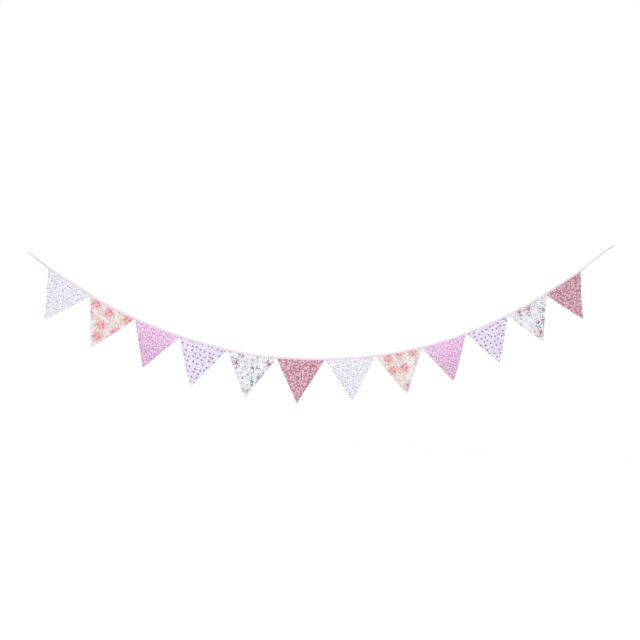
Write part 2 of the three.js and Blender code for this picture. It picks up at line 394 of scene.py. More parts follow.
def cotton(net, paint, flat, bias=0.0):
    """Finishes a cotton: woven threads in height and in painted shade, slubs in tone and height, and a soft
    sheen.
    """
    if bias:
        inputs = {"Vector": flat, "Angle": math.radians(bias)}
        flat = net.add("ShaderNodeVectorRotate", inputs, rotation_type="Z_AXIS")
    phase = net.scaled(flat, math.pi / THREAD)
    warp = net.add("ShaderNodeSeparateXYZ", {0: phase}, out=0)
    weft = warp.node.outputs[1]
    over = net.math("MULTIPLY", net.math("SINE", warp), net.math("SINE", weft))
    over = net.math("MULTIPLY_ADD", over, 0.5, 0.5)
    along = net.vector("MULTIPLY", flat, (1 / THREAD, 1 / SLUB_LENGTH, 0))
    across = net.vector("MULTIPLY", flat, (1 / SLUB_LENGTH, 1 / THREAD, 0))
    slubs = net.math("ADD", net.noise(along, 1, 1.0), net.noise(across, 1, 1.0))
    shade = net.math("MULTIPLY_ADD", slubs, SLUB_TONE, 1 - SLUB_TONE)
    # Painted shade of the weave: lighter where a thread lies on top, darker where it passes under.
    shade = net.math("MULTIPLY", shade, net.math("MULTIPLY_ADD", over, WEAVE_PAINTED_SHADE, WEAVE_SHADE_BASE))
    colour = net.scaled(paint, shade)
    height = net.math("ADD", over, net.math("MULTIPLY", slubs, SLUB_HEIGHT))
    bump = {"Height": height, "Strength": 0.5, "Distance": WEAVE_HEIGHT}
    normal = net.add("ShaderNodeBump", bump, out="Normal")
    rough = net.ramp(slubs, *SLUB_RANGE, *ROUGHNESS)
    inputs = {
        "Base Color": colour,
        "Roughness": rough,
        "Normal": normal,
        "Sheen Weight": SHEEN,
        "Sheen Roughness": 0.5,
        "Specular IOR Level": 0.25,
    }
    surface = net.add("ShaderNodeBsdfPrincipled", inputs)
    return net.finish(surface)


def marks_paint(net, flat, wavy):
    """Slate marks and faint sprigs on pale lavender."""
    paint = ground(net, flat, 26, (0.4, 0.62), (247, 246, 253), (238, 238, 250))
    local = cells(net, wavy, size=23, jitter=0.7, shift=7.3)[0]
    paint = sprig(net, paint, local, None, [
        ("leaf", 0, 0, 12, 1.1, 10, [(216, 216, 231)]),
        ("leaf", 3, 2.4, 6, 2.0, 55, [(222, 223, 237)]),
        ("leaf", -3, 2.0, 6, 2.0, 125, [(222, 220, 237)]),
    ])
    local = cells(net, wavy, size=38, jitter=0.8, shift=3.9)[0]
    paint = sprig(net, paint, local, None, [("blossom", 0, 0, 2.4, 4, 0, [(194, 226, 220)])])
    local, chance = cells(net, wavy, size=11, jitter=0.8, shift=1.7)
    paint = sprig(net, paint, local, None, [
        ("leaf", 0, 0, 4.5, 2.2, 0, [(126, 126, 155)]),
        ("disc", 3.0, 1.5, 0.8, 0, 0, [(134, 132, 162)]),
    ])
    return sprig(net, paint, local, chosen(net, chance, 0.82, 1.1), [
        ("leaf", 0, 0, 5.6, 3.0, 0, [(70, 68, 92)]),
    ])


SAGE = [(190, 191, 175)]
STEM = [(204, 199, 188)]
CORAL = [(222, 108, 106), (243, 180, 178)]
APRICOT = [(230, 134, 122), (246, 196, 186)]
DEEP_ROSE = [(212, 108, 132), (238, 178, 192)]
PINK = [(224, 148, 170), (243, 202, 213)]
BLUSH = [(241, 201, 203)]
PETAL = [(240, 184, 194)]
GOLD = [(228, 184, 144)]
LILAC = [(226, 194, 206)]


def roses_paint(net, flat, wavy):
    """Posies of coral and pink roses, gold flowers and sage leaves on cream."""
    paint = ground(net, flat, 30, (0.4, 0.65), (248, 242, 238), (239, 223, 220))
    local = cells(net, wavy, size=20, jitter=0.7, shift=5.2)[0]
    paint = sprig(net, paint, local, None, [
        ("leaf", 0, 0, 15, 1.2, 20, STEM),
        ("leaf", 3.5, 3.6, 6.5, 2.6, 60, SAGE),
        ("leaf", -2.5, 2.4, 5.5, 2.2, 130, SAGE),
        ("disc", 7.0, 3.4, 2.6, 0, 0, LILAC),
        ("disc", -6.4, -3.0, 0.8, 0, 0, [(120, 104, 112)]),
    ])
    local, chance = cells(net, wavy, size=60, jitter=0.45, shift=1.4)
    paint = sprig(net, paint, local, None, [
        ("leaf", -21, 12, 15, 5.6, 150, SAGE),
        ("leaf", 23, 5, 14, 5.2, 15, STEM),
        ("leaf", 5, -24, 13, 5.0, 80, SAGE),
        ("leaf", 0, 23, 19, 1.4, 30, STEM),
        ("blossom", 1, 0, 24.5, 9, 0, BLUSH),
        ("leaf", -14, -2, 12, 5.5, 70, PETAL),
        ("leaf", 12, 0, 12, 5.0, 110, PETAL),
        ("leaf", 0, -14, 11, 4.6, 15, PETAL),
        ("blossom", 20, -9, 4.4, 5, 0, GOLD),
        ("blossom", -18, -10, 4.0, 5, 0, GOLD),
    ])
    paint = sprig(net, paint, local, chosen(net, chance, -0.1, 0.55), [
        ("rose", -8, -9, 5.6, 0, 0, PINK),
        ("rose", 9, 9, 5.8, 0, 0, APRICOT),
        ("rose", 8, -7.5, 6.2, 0, 0, DEEP_ROSE),
        ("rose", -1, 13, 5.0, 0, 0, DEEP_ROSE),
        ("rose", -7.5, 3, 7.4, 0, 0, CORAL),
        ("disc", 1, -2.6, 1.4, 0, 0, [(98, 60, 66)]),
    ])
    return sprig(net, paint, local, chosen(net, chance, 0.55, 1.1), [
        ("rose", -10, 7, 6.2, 0, 0, DEEP_ROSE),
        ("rose", 10, 7.5, 5.8, 0, 0, PINK),
        ("rose", -9, -8.5, 5.4, 0, 0, APRICOT),
        ("rose", 4, -5.5, 7.4, 0, 0, CORAL),
        ("rose", 0, 10, 4.8, 0, 0, CORAL),
        ("blossom", -2, 18, 4.2, 5, 0, GOLD),
        ("disc", -2.4, 2.4, 1.2, 0, 0, [(104, 70, 84)]),
    ])


# The tone's factor at the top and at the point, and the depths that it changes between.
DITSY_SHADES = (1.07, 0.93)
DITSY_DEPTHS = (15, 115)


def ditsy_paint(net, flat, wavy):
    """Close-set pale flowers and mauve specks on orchid pink, deeper towards the flag's point."""
    paint = ground(net, flat, 22, (0.4, 0.62), (236, 184, 228), (228, 173, 220))
    local = cells(net, wavy, size=8.6, jitter=0.85, shift=4.4)[0]
    paint = sprig(net, paint, local, None, [
        ("leaf", 0, 0, 5.0, 2.9, 0, [(178, 138, 174)]),
        ("disc", 2.7, 1.3, 1.1, 0, 0, [(162, 118, 158)]),
    ])
    local = cells(net, wavy, size=8.8, jitter=0.8, shift=9.1)[0]
    paint = sprig(net, paint, local, None, [
        ("blossom", 0, 0, 3.3, 5, 0, [(255, 241, 255)]),
        ("disc", 0, 0, 0.8, 0, 0, [(208, 152, 197)]),
    ])
    depth = net.add("ShaderNodeSeparateXYZ", {0: net.add("ShaderNodeUVMap", uv_map="seam")}, out=1)
    top, point = (limit / UV_UNIT for limit in DITSY_DEPTHS)
    return net.scaled(paint, net.ramp(depth, top, point, *DITSY_SHADES))


def dots_paint(net, flat, wavy):
    """Violet dot flowers, a few peach ones and faint leaves on pale lavender."""
    paint = ground(net, flat, 28, (0.4, 0.62), (245, 238, 252), (237, 229, 249))
    local = cells(net, wavy, size=12, jitter=0.75, shift=6.6)[0]
    paint = sprig(net, paint, local, None, [
        ("leaf", 0, 0, 6.8, 2.8, 0, [(202, 198, 220)]),
        ("leaf", 2.2, 2.6, 4.8, 2.2, 60, [(192, 196, 208)]),
        ("disc", -2.8, 1.2, 0.9, 0, 0, [(186, 180, 208)]),
    ])
    local = cells(net, wavy, size=27, jitter=0.6, shift=2.3)[0]
    paint = sprig(net, paint, local, None, [
        ("blossom", 0, 0, 3.0, 5, 0, [(246, 226, 202)]),
        ("disc", 0, 0, 0.8, 0, 0, [(230, 186, 170)]),
    ])
    local, chance = cells(net, wavy, size=19, jitter=0.55, shift=8.2)
    paint = sprig(net, paint, local, None, [("blossom", 0, 0, 4.3, 5, 0, [(128, 98, 176)])])
    paint = sprig(net, paint, local, chosen(net, chance, 0.6, 0.85), [
        ("blossom", 0, 0, 4.3, 5, 0, [(148, 88, 162)]),
    ])
    return sprig(net, paint, local, None, [("disc", 0, 0, 1.0, 0, 0, [(206, 182, 214)])])


LEAF_GREEN = [(142, 158, 148)]
DARK_GREEN = [(92, 106, 98)]
CRIMSON = [(150, 44, 78), (240, 204, 214)]
BUD = [(190, 100, 128)]
BUD_LIGHT = [(238, 204, 214)]
PALE_BUD = [(230, 206, 216)]
SHADOW = [(198, 201, 208)]


def sprigs_paint(net, flat, wavy):
    """Crimson roses with green leaves, and shadow leaves between them, on cool white."""
    paint = ground(net, flat, 34, (0.4, 0.65), (244, 246, 251), (234, 236, 245))
    local = cells(net, wavy, size=21, jitter=0.7, shift=3.7)[0]
    paint = sprig(net, paint, local, None, [
        ("leaf", 0, 0, 12, 4.4, 0, SHADOW),
        ("leaf", 4, 4, 9, 3.2, 55, SHADOW),
        ("disc", 6, -5, 3.0, 0, 0, PALE_BUD),
        ("disc", -5, 5, 1.1, 0, 0, [(190, 192, 208)]),
        ("disc", -4, -4, 0.8, 0, 0, [(150, 150, 160)]),
    ])
    local, chance = cells(net, wavy, size=33, jitter=0.75, shift=7.9)
    paint = sprig(net, paint, local, chosen(net, chance, 0.2, 1.1), [
        ("leaf", -2.4, 1.0, 7.6, 2.8, 150, LEAF_GREEN),
        ("leaf", 2.6, 0.6, 6.4, 2.4, 35, DARK_GREEN),
        ("leaf", 0, -4.5, 7.0, 1.0, 85, LEAF_GREEN),
        ("disc", 0, 3.6, 2.1, 0, 0, BUD),
        ("disc", 0.6, 4.2, 0.9, 0, 0, BUD_LIGHT),
    ])
    local, chance = cells(net, wavy, size=56, jitter=0.6, shift=1.1)
    paint = sprig(net, paint, local, None, [
        ("leaf", -13, -8, 12, 4.8, 30, LEAF_GREEN),
        ("leaf", -10, -14, 9, 3.4, 75, DARK_GREEN),
        ("leaf", 14, -8, 12, 4.8, 145, LEAF_GREEN),
        ("leaf", -13, 12, 9, 3.2, 120, LEAF_GREEN),
        ("leaf", 17, 9, 11, 4.0, 20, SHADOW),
        ("disc", -17, 2, 2.0, 0, 0, BUD),
        ("disc", -16.4, 2.6, 0.8, 0, 0, BUD_LIGHT),
    ])
    paint = sprig(net, paint, local, chosen(net, chance, -0.1, 0.45), [
        ("leaf", 0, 0, 13, 5.0, 80, LEAF_GREEN),
        ("leaf", 5, 2, 11, 4.0, 30, DARK_GREEN),
        ("leaf", -5, 2, 11, 4.0, 140, DARK_GREEN),
        ("disc", 2, 8, 2.6, 0, 0, BUD),
        ("disc", 2.6, 8.8, 1.1, 0, 0, BUD_LIGHT),
        ("disc", -7, 7, 1.4, 0, 0, [(70, 84, 78)]),
    ])
    return sprig(net, paint, local, chosen(net, chance, 0.45, 1.1), [
        ("leaf", 4, 15, 10, 4.0, 75, DARK_GREEN),
        ("leaf", 8, -16, 10, 4.0, 100, DARK_GREEN),
        ("rose", 15, 10, 4.6, 0, 0, CRIMSON),
        ("rose", 0, 0, 11, 0, 0, CRIMSON),
        ("disc", -3.8, 3.8, 2.8, 0, 0, [(250, 236, 242)]),
    ])


def meadow_paint(net, flat, wavy):
    """Close-set pale pink flowers, olive leaves and bright pink patches on mauve."""
    paint = ground(net, flat, 14, (0.38, 0.62), (211, 144, 175), (194, 121, 152))
    local = cells(net, wavy, size=23, jitter=0.9, shift=2.8)[0]
    paint = sprig(net, paint, local, None, [("blossom", 0, 0, 6.2, 5, 0, [(223, 132, 186)])])
    local = cells(net, wavy, size=12.5, jitter=0.9, shift=5.9)[0]
    paint = sprig(net, paint, local, None, [
        ("leaf", 0, 0, 8.0, 3.8, 0, [(152, 143, 124)]),
        ("leaf", 2.2, 2.9, 5.8, 2.8, 60, [(128, 102, 102)]),
    ])
    local = cells(net, wavy, size=18, jitter=0.9, shift=9.6)[0]
    paint = sprig(net, paint, local, None, [
        ("blossom", 0, 0, 4.2, 5, 0, [(224, 204, 202)]),
        ("disc", 0, 0, 1.3, 0, 0, [(160, 138, 114)]),
    ])
    local, chance = cells(net, wavy, size=11, jitter=0.8, shift=1.9)
    paint = sprig(net, paint, local, chosen(net, chance, -0.1, 0.6), [
        ("blossom", 0, 0, 3.0, 5, 0, [(252, 232, 242)]),
        ("disc", 0, 0, 0.9, 0, 0, [(200, 112, 150)]),
    ])
    return sprig(net, paint, local, chosen(net, chance, 0.6, 1.1), [
        ("blossom", 0, 0, 4.5, 5, 0, [(248, 228, 234)]),
        ("disc", 0, 0, 1.7, 0, 0, [(168, 134, 116)]),
        ("disc", 0, 0, 0.8, 0, 0, [(226, 200, 160)]),
    ])


PRINTS = {
    "marks": marks_paint,
    "roses": roses_paint,
    "ditsy": ditsy_paint,
    "dots": dots_paint,
    "sprigs": sprigs_paint,
    "meadow": meadow_paint,
}

# The seam allowance's width, how soft its inner edge looks, how far in the sewn edge rolls, and how much
# painted shade each of the two lays on the cloth.
ALLOWANCE = 7
ALLOWANCE_BLUR = 0.8
ROLLED_EDGE = 1.8
ALLOWANCE_PAINTED_SHADE = 0.035
ROLLED_EDGE_PAINTED_SHADE = 0.05


def seam_shade(net, paint):
    """Painted shade: deepens the tone over the seam allowance and on the rolled edge, where the edge turns
    away from the light.
    """
    edge = net.add("ShaderNodeSeparateXYZ", {0: net.add("ShaderNodeUVMap", uv_map="seam")})
    far = (ALLOWANCE + ALLOWANCE_BLUR) / UV_UNIT
    near = (ALLOWANCE - ALLOWANCE_BLUR) / UV_UNIT
    # Painted shade over the seam allowance band and on the rolled edge.
    layers = net.ramp(edge, far, near, 0.0, ALLOWANCE_PAINTED_SHADE)
    rolled = net.ramp(edge, ROLLED_EDGE / UV_UNIT, 0.0, 0.0, ROLLED_EDGE_PAINTED_SHADE)
    return net.scaled(paint, net.math("SUBTRACT", 1.0, net.math("ADD", layers, rolled)))


def print_cotton(name, paint):
    """A printed cotton, with painted shade over its seams."""
    net = Net(name + "_cotton")
    flat = flat_coordinates(net)
    return cotton(net, seam_shade(net, paint(net, flat, wavered(net, flat))), flat)


# Painted shade that greys the turned ties: the tone that it brings, its share on the right tie, and where
# that starts and is full, about the last flag's corner.
TIE_SHADE_TONE = (204, 194, 200)
RIGHT_TIE_SHADE_SHARE = 0.2
TIE_SHADE_FROM = RIGHT_TIE_START - 10
TIE_SHADE_FULL = RIGHT_TIE_START + 15


def tape_cotton():
    """Plain pink cotton cut on the bias, with painted shade greying the turned ties."""
    net = Net("tape")
    flat = flat_coordinates(net)
    paint = ground(net, flat, 12, (0.35, 0.65), (246, 230, 243), (239, 221, 236))
    along = net.add("ShaderNodeSeparateXYZ", {0: flat})
    # Painted shade on the ties: full at the left tie's end, and a share of it on the right tie.
    left = net.ramp(along, LEFT_TIE, LEFT_TIE / 2)
    right = net.ramp(along, TIE_SHADE_FROM, TIE_SHADE_FULL, 0.0, RIGHT_TIE_SHADE_SHARE)
    tie_shade = net.math("MAXIMUM", left, right)
    return cotton(net, net.mix(tie_shade, paint, tone(*TIE_SHADE_TONE)), flat, bias=45)


# The sewing thread's twist, in waves a metre, and its relief, in metres.
TWIST_SCALE = 900.0
TWIST_RELIEF = 0.00005


def thread_finish():
    """Twisted sewing thread, with painted shade in the twist's grooves."""
    net = Net("thread")
    where = net.add("ShaderNodeTexCoord", out="Object")
    inputs = {"Vector": where, "Scale": TWIST_SCALE, "Distortion": 1.0}
    twist = net.add("ShaderNodeTexWave", inputs, out="Fac", bands_direction="DIAGONAL")
    # Painted shade: the twist's grooves darker than its crowns.
    paint = net.mix(twist, tone(238, 214, 228), tone(248, 230, 240))
    bump = {"Height": twist, "Strength": 0.4, "Distance": TWIST_RELIEF}
    normal = net.add("ShaderNodeBump", bump, out="Normal")
    inputs = {"Base Color": paint, "Roughness": 0.55, "Normal": normal}
    surface = net.add("ShaderNodeBsdfPrincipled", inputs)
    return net.finish(surface)


MATERIALS = {name + "_cotton": print_cotton(name, paint) for name, paint in PRINTS.items()}
MATERIALS["tape"] = tape_cotton()
THREAD_FINISH = thread_finish()

# The flags. Each is an envelope of two layers that share the seam along its slanting edges, with
# the turned-in seam allowance as a low ridge inside the edge. Its points are a grain apart, with
# loops close to the edge, which come closer together in a row that is narrower than LOOPS_NEED times
# their width.
GRAIN = 1.8
EDGE_LOOPS = (0, 0.12, 0.45, 1.0)
LOOPS_NEED = 3
LAST_TIP_ANGLE = 8

# One layer's thickness, the ridge's height and ease, how far in the edge is rounded, and how far in
# the belly is full.
LAYER = 0.3
ALLOWANCE_LIFT = 0.28
ALLOWANCE_EASE = 1.6
EDGE_ROUND = 0.8
BELLY_REACH = 45

# The back is cut from another part of the print, this far along it.
BACK_CUT_SHIFT = 260

# The seam allowance's waver: rows of size, length for a radian and times the flag's own phase.
ALLOWANCE_WAVES = ((0.7, 13, 1), (0.5, 5.3, 2))

# Slow waves over the free cloth, as rows of length and size, and the depth where they are full.
SOFT_WAVES = ((150, 0.9), (85, 0.55), (48, 0.28))
SOFT_FULL = 40

# Small puckers, gathered under the tape and pulled along the seams.
PUCKER_COLUMNS = ("length", "wander", "wander_length", "size", "reach", "full")
GATHER = dict(zip(PUCKER_COLUMNS, (13, 1.3, 17, 0.22, 9, 12)))
PULL = dict(zip(PUCKER_COLUMNS, (10.5, 1.1, 19, 0.16, 6, 20)))


def round_tip(flag):
    """The half angle of the point, the depth of the round tip's centre and where it starts."""
    half_angle = math.atan(flag["width"] / 2 / flag["drop"])
    centre = flag["drop"] - flag["tip"] / math.sin(half_angle)
    return half_angle, centre, centre + flag["tip"] * math.sin(half_angle)


def half_width(flag, depth):
    """Half the flag's width at a depth, before its lean and its neighbours."""
    centre, start = round_tip(flag)[1:]
    straight = flag["width"] / 2 * (1 - depth / flag["drop"])
    round_part = np.sqrt(np.maximum(0, flag["tip"] ** 2 - (depth - centre) ** 2))
    return np.where(depth <= start, straight, round_part)


def corner_limits(index):
    """How far the flag's top reaches to each side inside the tape."""
    flag = FLAGS[index]
    sides = []
    for side, tie in ((-1, LEFT_TIE), (1, RIGHT_TIE_START)):
        other = index + side
        place = tie
        if 0 <= other < len(FLAGS):
            beside = FLAGS[other]
            own_edge = flag["middle"] + side * flag["width"] / 2
            place = (own_edge + beside["middle"] - side * beside["width"] / 2) / 2
        sides.append(place - side * FLAG_GAP / 2 - flag["middle"])
    return sides


def row_ends(flag, limits, depth):
    """Where the flag's left and right edges are at a depth."""
    half = half_width(flag, depth)
    down = depth / flag["drop"]
    shift = flag["lean"] * down + flag["flick"] * down ** FLICK_SHARPNESS
    return np.maximum(shift - half, limits[0]), np.minimum(shift + half, limits[1])


def inside_edge(flag, limits, across, depth):
    """The distance from a point of the flag in to its nearest free edge."""
    half_angle, centre, start = round_tip(flag)
    left, right = row_ends(flag, limits, depth)
    edge = np.minimum(across - left, right - across) * math.cos(half_angle)
    middle = (left + right) / 2
    from_tip = flag["tip"] - np.hypot(across - middle, depth - centre)
    return np.maximum(0, np.where(depth > start, np.minimum(edge, from_tip), edge))


def allowance_width(depth, phase):
    """The uneven width of the seam allowance."""
    waves = (size * np.sin(depth / length + times * phase) for size, length, times in ALLOWANCE_WAVES)
    return ALLOWANCE + sum(waves)


def half_thickness(flag, edge, depth, phase):
    """Half the envelope's thickness: the layers, the ridge of the allowance and the rolled edge."""
    allowance = allowance_width(depth, phase)
    ridge = 1 - smooth(allowance, allowance + ALLOWANCE_EASE, edge)
    belly = flag["belly"] * smooth(ALLOWANCE, BELLY_REACH, edge) * smooth(FLAG_FREE, BELLY_REACH, depth)
    body = LAYER + ALLOWANCE_LIFT * ridge + belly / 2
    rolled = np.sqrt(np.clip(1 - (1 - np.minimum(edge / EDGE_ROUND, 1)) ** 2, 0, 1))
    return body * rolled


def puckers(kind, phase, place, away, depth):
    """A row of small puckers that follow each other along place and fade away from their seam."""
    wander = kind["wander"] * np.sin(place / kind["wander_length"] + phase)
    wave = np.sin(2 * math.pi * place / kind["length"] + wander)
    return kind["size"] * wave * np.exp(-away / kind["reach"]) * smooth(FLAG_FREE, kind["full"], depth)


def soft_folds(rng, across, depth, edge):
    """The cloth's unevenness: slow waves, and small puckers under the tape and along the seams."""
    folds = np.zeros_like(across)
    for length, size in SOFT_WAVES:
        heading = rng.uniform(0, math.pi)
        phase = rng.uniform(0, 2 * math.pi)
        where = across * math.cos(heading) + depth * math.sin(heading)
        folds += size * np.sin(2 * math.pi * where / length + phase)
    folds *= smooth(FLAG_FREE, SOFT_FULL, depth)
    below_tape = np.maximum(0, depth - FLAG_FREE)
    folds += puckers(GATHER, rng.uniform(0, 2 * math.pi), across, below_tape, depth)
    return folds + puckers(PULL, rng.uniform(0, 2 * math.pi), depth, edge, depth)


def flag_surface(flag, limits, across, depth):
    """Where the flag's middle layer hangs: square to its tape's chord, with its top on the tape."""
    ends = fold_line(np.array([flag["middle"] - flag["width"] / 2, flag["middle"] + flag["width"] / 2]))
    chord = (ends[1] - ends[0]) * (1, 0, 1)
    chord /= np.linalg.norm(chord)
    down = np.array([chord[2], 0, -chord[0]])
    square = fold_line(np.float64(flag["middle"])) + across[:, None] * chord
    follows = (1 - smooth(FLAG_FREE, TOP_FOLLOWS_TO, depth))[:, None]
    place = square + (fold_line(flag["middle"] + across) - square) * follows
    place += depth[:, None] * down
    fall = np.clip((depth - FLAG_FREE) / (flag["drop"] - FLAG_FREE), 0, 1)
    left, right = row_ends(flag, limits, depth)
    side = 2 * (across - left) / np.maximum(right - left, 1e-6) - 1
    curl = np.where(side < 0, flag["left"], flag["right"])
    curve = np.abs(side) ** CURL_SHARPNESS * np.sin(math.pi * fall ** CURL_FALL)
    place[:, 1] += flag["swing"] * fall ** SWING_SHARPNESS + curl * curve
    return place


def flag_rows(flag, limits):
    """The rows of points down the flag, as arrays of across and depth."""
    half_angle, centre, start = round_tip(flag)
    steps = round((start - FLAG_TOP) / GRAIN)
    depths = list(np.linspace(FLAG_TOP, start, steps + 1))
    tip_rows = 2 + round(flag["tip"] / GRAIN)
    angles = np.linspace(math.pi / 2 - half_angle, math.radians(LAST_TIP_ANGLE), tip_rows)
    depths += list(centre + flag["tip"] * np.cos(angles[1:]))
    rows = []
    for depth in depths:
        left, right = (float(end) for end in row_ends(flag, limits, np.float64(depth)))
        room = min(1, (right - left) / (LOOPS_NEED * EDGE_LOOPS[-1]))
        loops = np.array(EDGE_LOOPS) * room
        inner_count = max(2, 1 + round((right - left) / GRAIN))
        inner = np.linspace(left + loops[-1], right - loops[-1], inner_count)
        across = np.concatenate([left + loops[:-1], inner, right - loops[-2::-1]])
        rows.append((across, np.full(len(across), depth)))
    return rows


def zipped(upper, lower, upper_at, lower_at):
    """Triangles between two rows of points that differ in number."""
    faces = []
    i = j = 0
    while i < len(upper) - 1 or j < len(lower) - 1:
        if j == len(lower) - 1 or (i < len(upper) - 1 and upper_at[i + 1] <= lower_at[j + 1]):
            faces.append((upper[i], lower[j], upper[i + 1]))
            i += 1
        else:
            faces.append((upper[i], lower[j], lower[j + 1]))
            j += 1
    return faces


def layer_faces(ids):
    """The faces of one layer: quads along the edge loops and triangles between."""
    faces = []
    loops = len(EDGE_LOOPS) - 1
    for upper, lower in zip(ids[:-1], ids[1:]):
        for k in (*range(loops), *range(-loops - 1, -1)):
            faces.append((upper[k], lower[k], lower[k + 1], upper[k + 1]))
        inner = slice(loops, -loops)
        spread = [np.linspace(0, 1, len(row[inner])) for row in (upper, lower)]
        faces += zipped(upper[inner], lower[inner], *spread)
    return faces


def cut_uv(flag, across, depth, back):
    """Where a point of the flag lies on the printed cotton, in UV units."""
    mirror = -1 if back else 1
    angle = math.radians(flag["turn"] * mirror)
    x = mirror * across
    u = x * math.cos(angle) - depth * math.sin(angle) + flag["cut_x"] + (BACK_CUT_SHIFT if back else 0)
    v = -(x * math.sin(angle) + depth * math.cos(angle)) + flag["cut_y"]
    return np.stack([u, v], -1) / UV_UNIT


def envelope(rows):
    """The faces of both layers, front first, how many are in front, and which points both layers have.

    The two layers share the first and the last point of each row.
    """
    counts = [len(across) for across, depth in rows]
    ends = np.cumsum(counts)
    starts = ends - counts
    doubled = np.ones(ends[-1], bool)
    doubled[starts] = False
    doubled[ends - 1] = False
    number = np.cumsum(doubled) - 1 + ends[-1]
    front = [list(range(start, end)) for start, end in zip(starts, ends)]
    back = [[ids[0], *(int(number[i]) for i in ids[1:-1]), ids[-1]] for ids in front]
    faces = layer_faces(front)
    front_count = len(faces)
    faces += [tuple(reversed(face)) for face in layer_faces(back)]
    for one, other, turned in ((front[0], back[0], False), (front[-1], back[-1], True)):
        for k in range(len(one) - 1):
            rim = list(dict.fromkeys([one[k], one[k + 1], other[k + 1], other[k]]))
            faces.append(tuple(reversed(rim)) if turned else tuple(rim))
    return faces, front_count, doubled


def make_flag(index):
    """One flag's cloth, on its print, in place of its solid."""
    flag = FLAGS[index]
    name = f"flag_{index + 1:02d}"
    limits = corner_limits(index)
    rng = np.random.default_rng(index + 1)
    rows = flag_rows(flag, limits)
    faces, front_count, doubled = envelope(rows)
    across, depth = np.concatenate(rows, axis=1)
    edge = inside_edge(flag, limits, across, depth)
    middle = flag_surface(flag, limits, across, depth)
    middle[:, 1] += soft_folds(rng, across, depth, edge)
    phase = rng.uniform(0, 2 * math.pi)
    offset = np.zeros_like(middle)
    offset[:, 1] = half_thickness(flag, edge, depth, phase)
    points = np.concatenate([middle - offset, (middle + offset)[doubled]])
    seam = np.stack([edge * ALLOWANCE / allowance_width(depth, phase), depth], -1) / UV_UNIT
    across, depth, seam = (np.concatenate([each, each[doubled]]) for each in (across, depth, seam))
    corners = np.array([i for face in faces for i in face])
    corner_counts = [len(face) for face in faces]
    is_back = np.repeat(np.arange(len(faces)) >= front_count, corner_counts)[:, None]
    front_uv = cut_uv(flag, across, depth, False)[corners]
    back_uv = cut_uv(flag, across, depth, True)[corners]
    uvs = {"cloth": np.where(is_back, back_uv, front_uv), "seam": seam[corners]}
    piece = new_piece(name + "_cloth", points, faces, flag["print"] + "_cotton", uvs)
    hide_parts(name)


for index in range(len(FLAGS)):
    make_flag(index)

# The tape. Its section runs over the fold and round both turned lower edges, back inside to the
# fold. The room inside follows the flags' thickness and its clearance, is higher within the ridge's
# reach of a flag's corner, and closes over a short stretch of each tie.
RING = 1.0
FOLD_ANGLES = (0, 22, 45, 68, 90)
TURN_ANGLES = (0, 50, 90, 130, 180)
TAPE_LAYER = 0.5
CLEARANCE = 0.14
SHUT_INSIDE = 0.08
SLOT_CLOSES_OVER = 30
RIDGE_REACH = 9.5
RIDGE_EASE = 3.5
FOLD_DEPTH = 0.9
TURN_ROUND = 0.25
SIDE_BULGE = 0.06
BOTTOM_WAVER = 0.35
STITCH_DEPTH = 6.5
STITCH_PITCH = 3.0
SIDE_DEPTHS = (3.5, 5.6, STITCH_DEPTH, 7.3)

# How far a stitch pulls the sides in, the share of it left between stitches, and its reach.
STITCH_PULL = 0.07
PULL_BETWEEN = 0.4
PULL_REACH = 0.7

# The inside, back up to the fold: rows of a share of its half width, and a depth.
INSIDE_ROWS = ((1.0, 1.3), (0.7, 0.75), (0.0, 0.55))

# The tape's slow unevenness: rows of share, length for a radian and phase.
UNEVEN_WAVES = ((0.6, 37, 0), (0.4, 14.3, 1))


def inside_half(along):
    """Half the room between the tape's two sides."""
    along = np.asarray(along, float)
    ends = []
    for index, flag in enumerate(FLAGS):
        left, right = corner_limits(index)
        half = flag["width"] / 2
        ends += [flag["middle"] + max(left, -half), flag["middle"] + min(right, half)]
    away = np.abs(along[:, None] - np.array(ends)[None, :]).min(axis=1)
    ridge = 1 - smooth(RIDGE_REACH, RIDGE_REACH + RIDGE_EASE, away)
    over_flags = LAYER + CLEARANCE + ALLOWANCE_LIFT * ridge
    open_left = smooth(LEFT_TIE - SLOT_CLOSES_OVER, LEFT_TIE - 1, along)
    open_right = 1 - smooth(RIGHT_TIE_START + 1, RIGHT_TIE_START + SLOT_CLOSES_OVER, along)
    part = np.minimum(open_left, open_right)
    return SHUT_INSIDE + (over_flags - SHUT_INSIDE) * part


def uneven(along, size):
    """A slow unevenness along the tape."""
    along = np.asarray(along, float)
    return size * sum(share * np.sin(along / length + phase) for share, length, phase in UNEVEN_WAVES)


def stitch_pull(along, depth):
    """How far each stitch pulls the tape's sides in."""
    beat = 0.5 - 0.5 * np.cos(2 * math.pi * np.asarray(along, float) / STITCH_PITCH)
    near = np.exp(-((depth - STITCH_DEPTH) / PULL_REACH) ** 2)
    return STITCH_PULL * (PULL_BETWEEN + (1 - PULL_BETWEEN) * beat) * near


def side_bulge(depth):
    """How far the tape's sides swell out at a depth."""
    return SIDE_BULGE * math.sin(math.pi * depth / TAPE_DEPTH)


def tape_section(along, inside):
    """One side of the section: rows of (half width, depth) from the top of the fold to its inside."""
    outside = inside + TAPE_LAYER
    bottom = TAPE_DEPTH + uneven(along, BOTTOM_WAVER)
    rows = []
    for angle in np.radians(FOLD_ANGLES):
        rows.append((outside * math.sin(angle), FOLD_DEPTH * (1 - math.cos(angle)) + 0 * inside))
    for depth in SIDE_DEPTHS:
        rows.append((outside + side_bulge(depth) - stitch_pull(along, depth), depth + 0 * inside))
    middle = inside + TAPE_LAYER / 2
    for angle in np.radians(TURN_ANGLES):
        turned = TURN_ROUND * math.sin(angle)
        rows.append((middle + TAPE_LAYER / 2 * math.cos(angle), bottom - TURN_ROUND + turned))
    for part, depth in INSIDE_ROWS:
        rows.append((inside * part, depth + 0 * inside))
    return rows


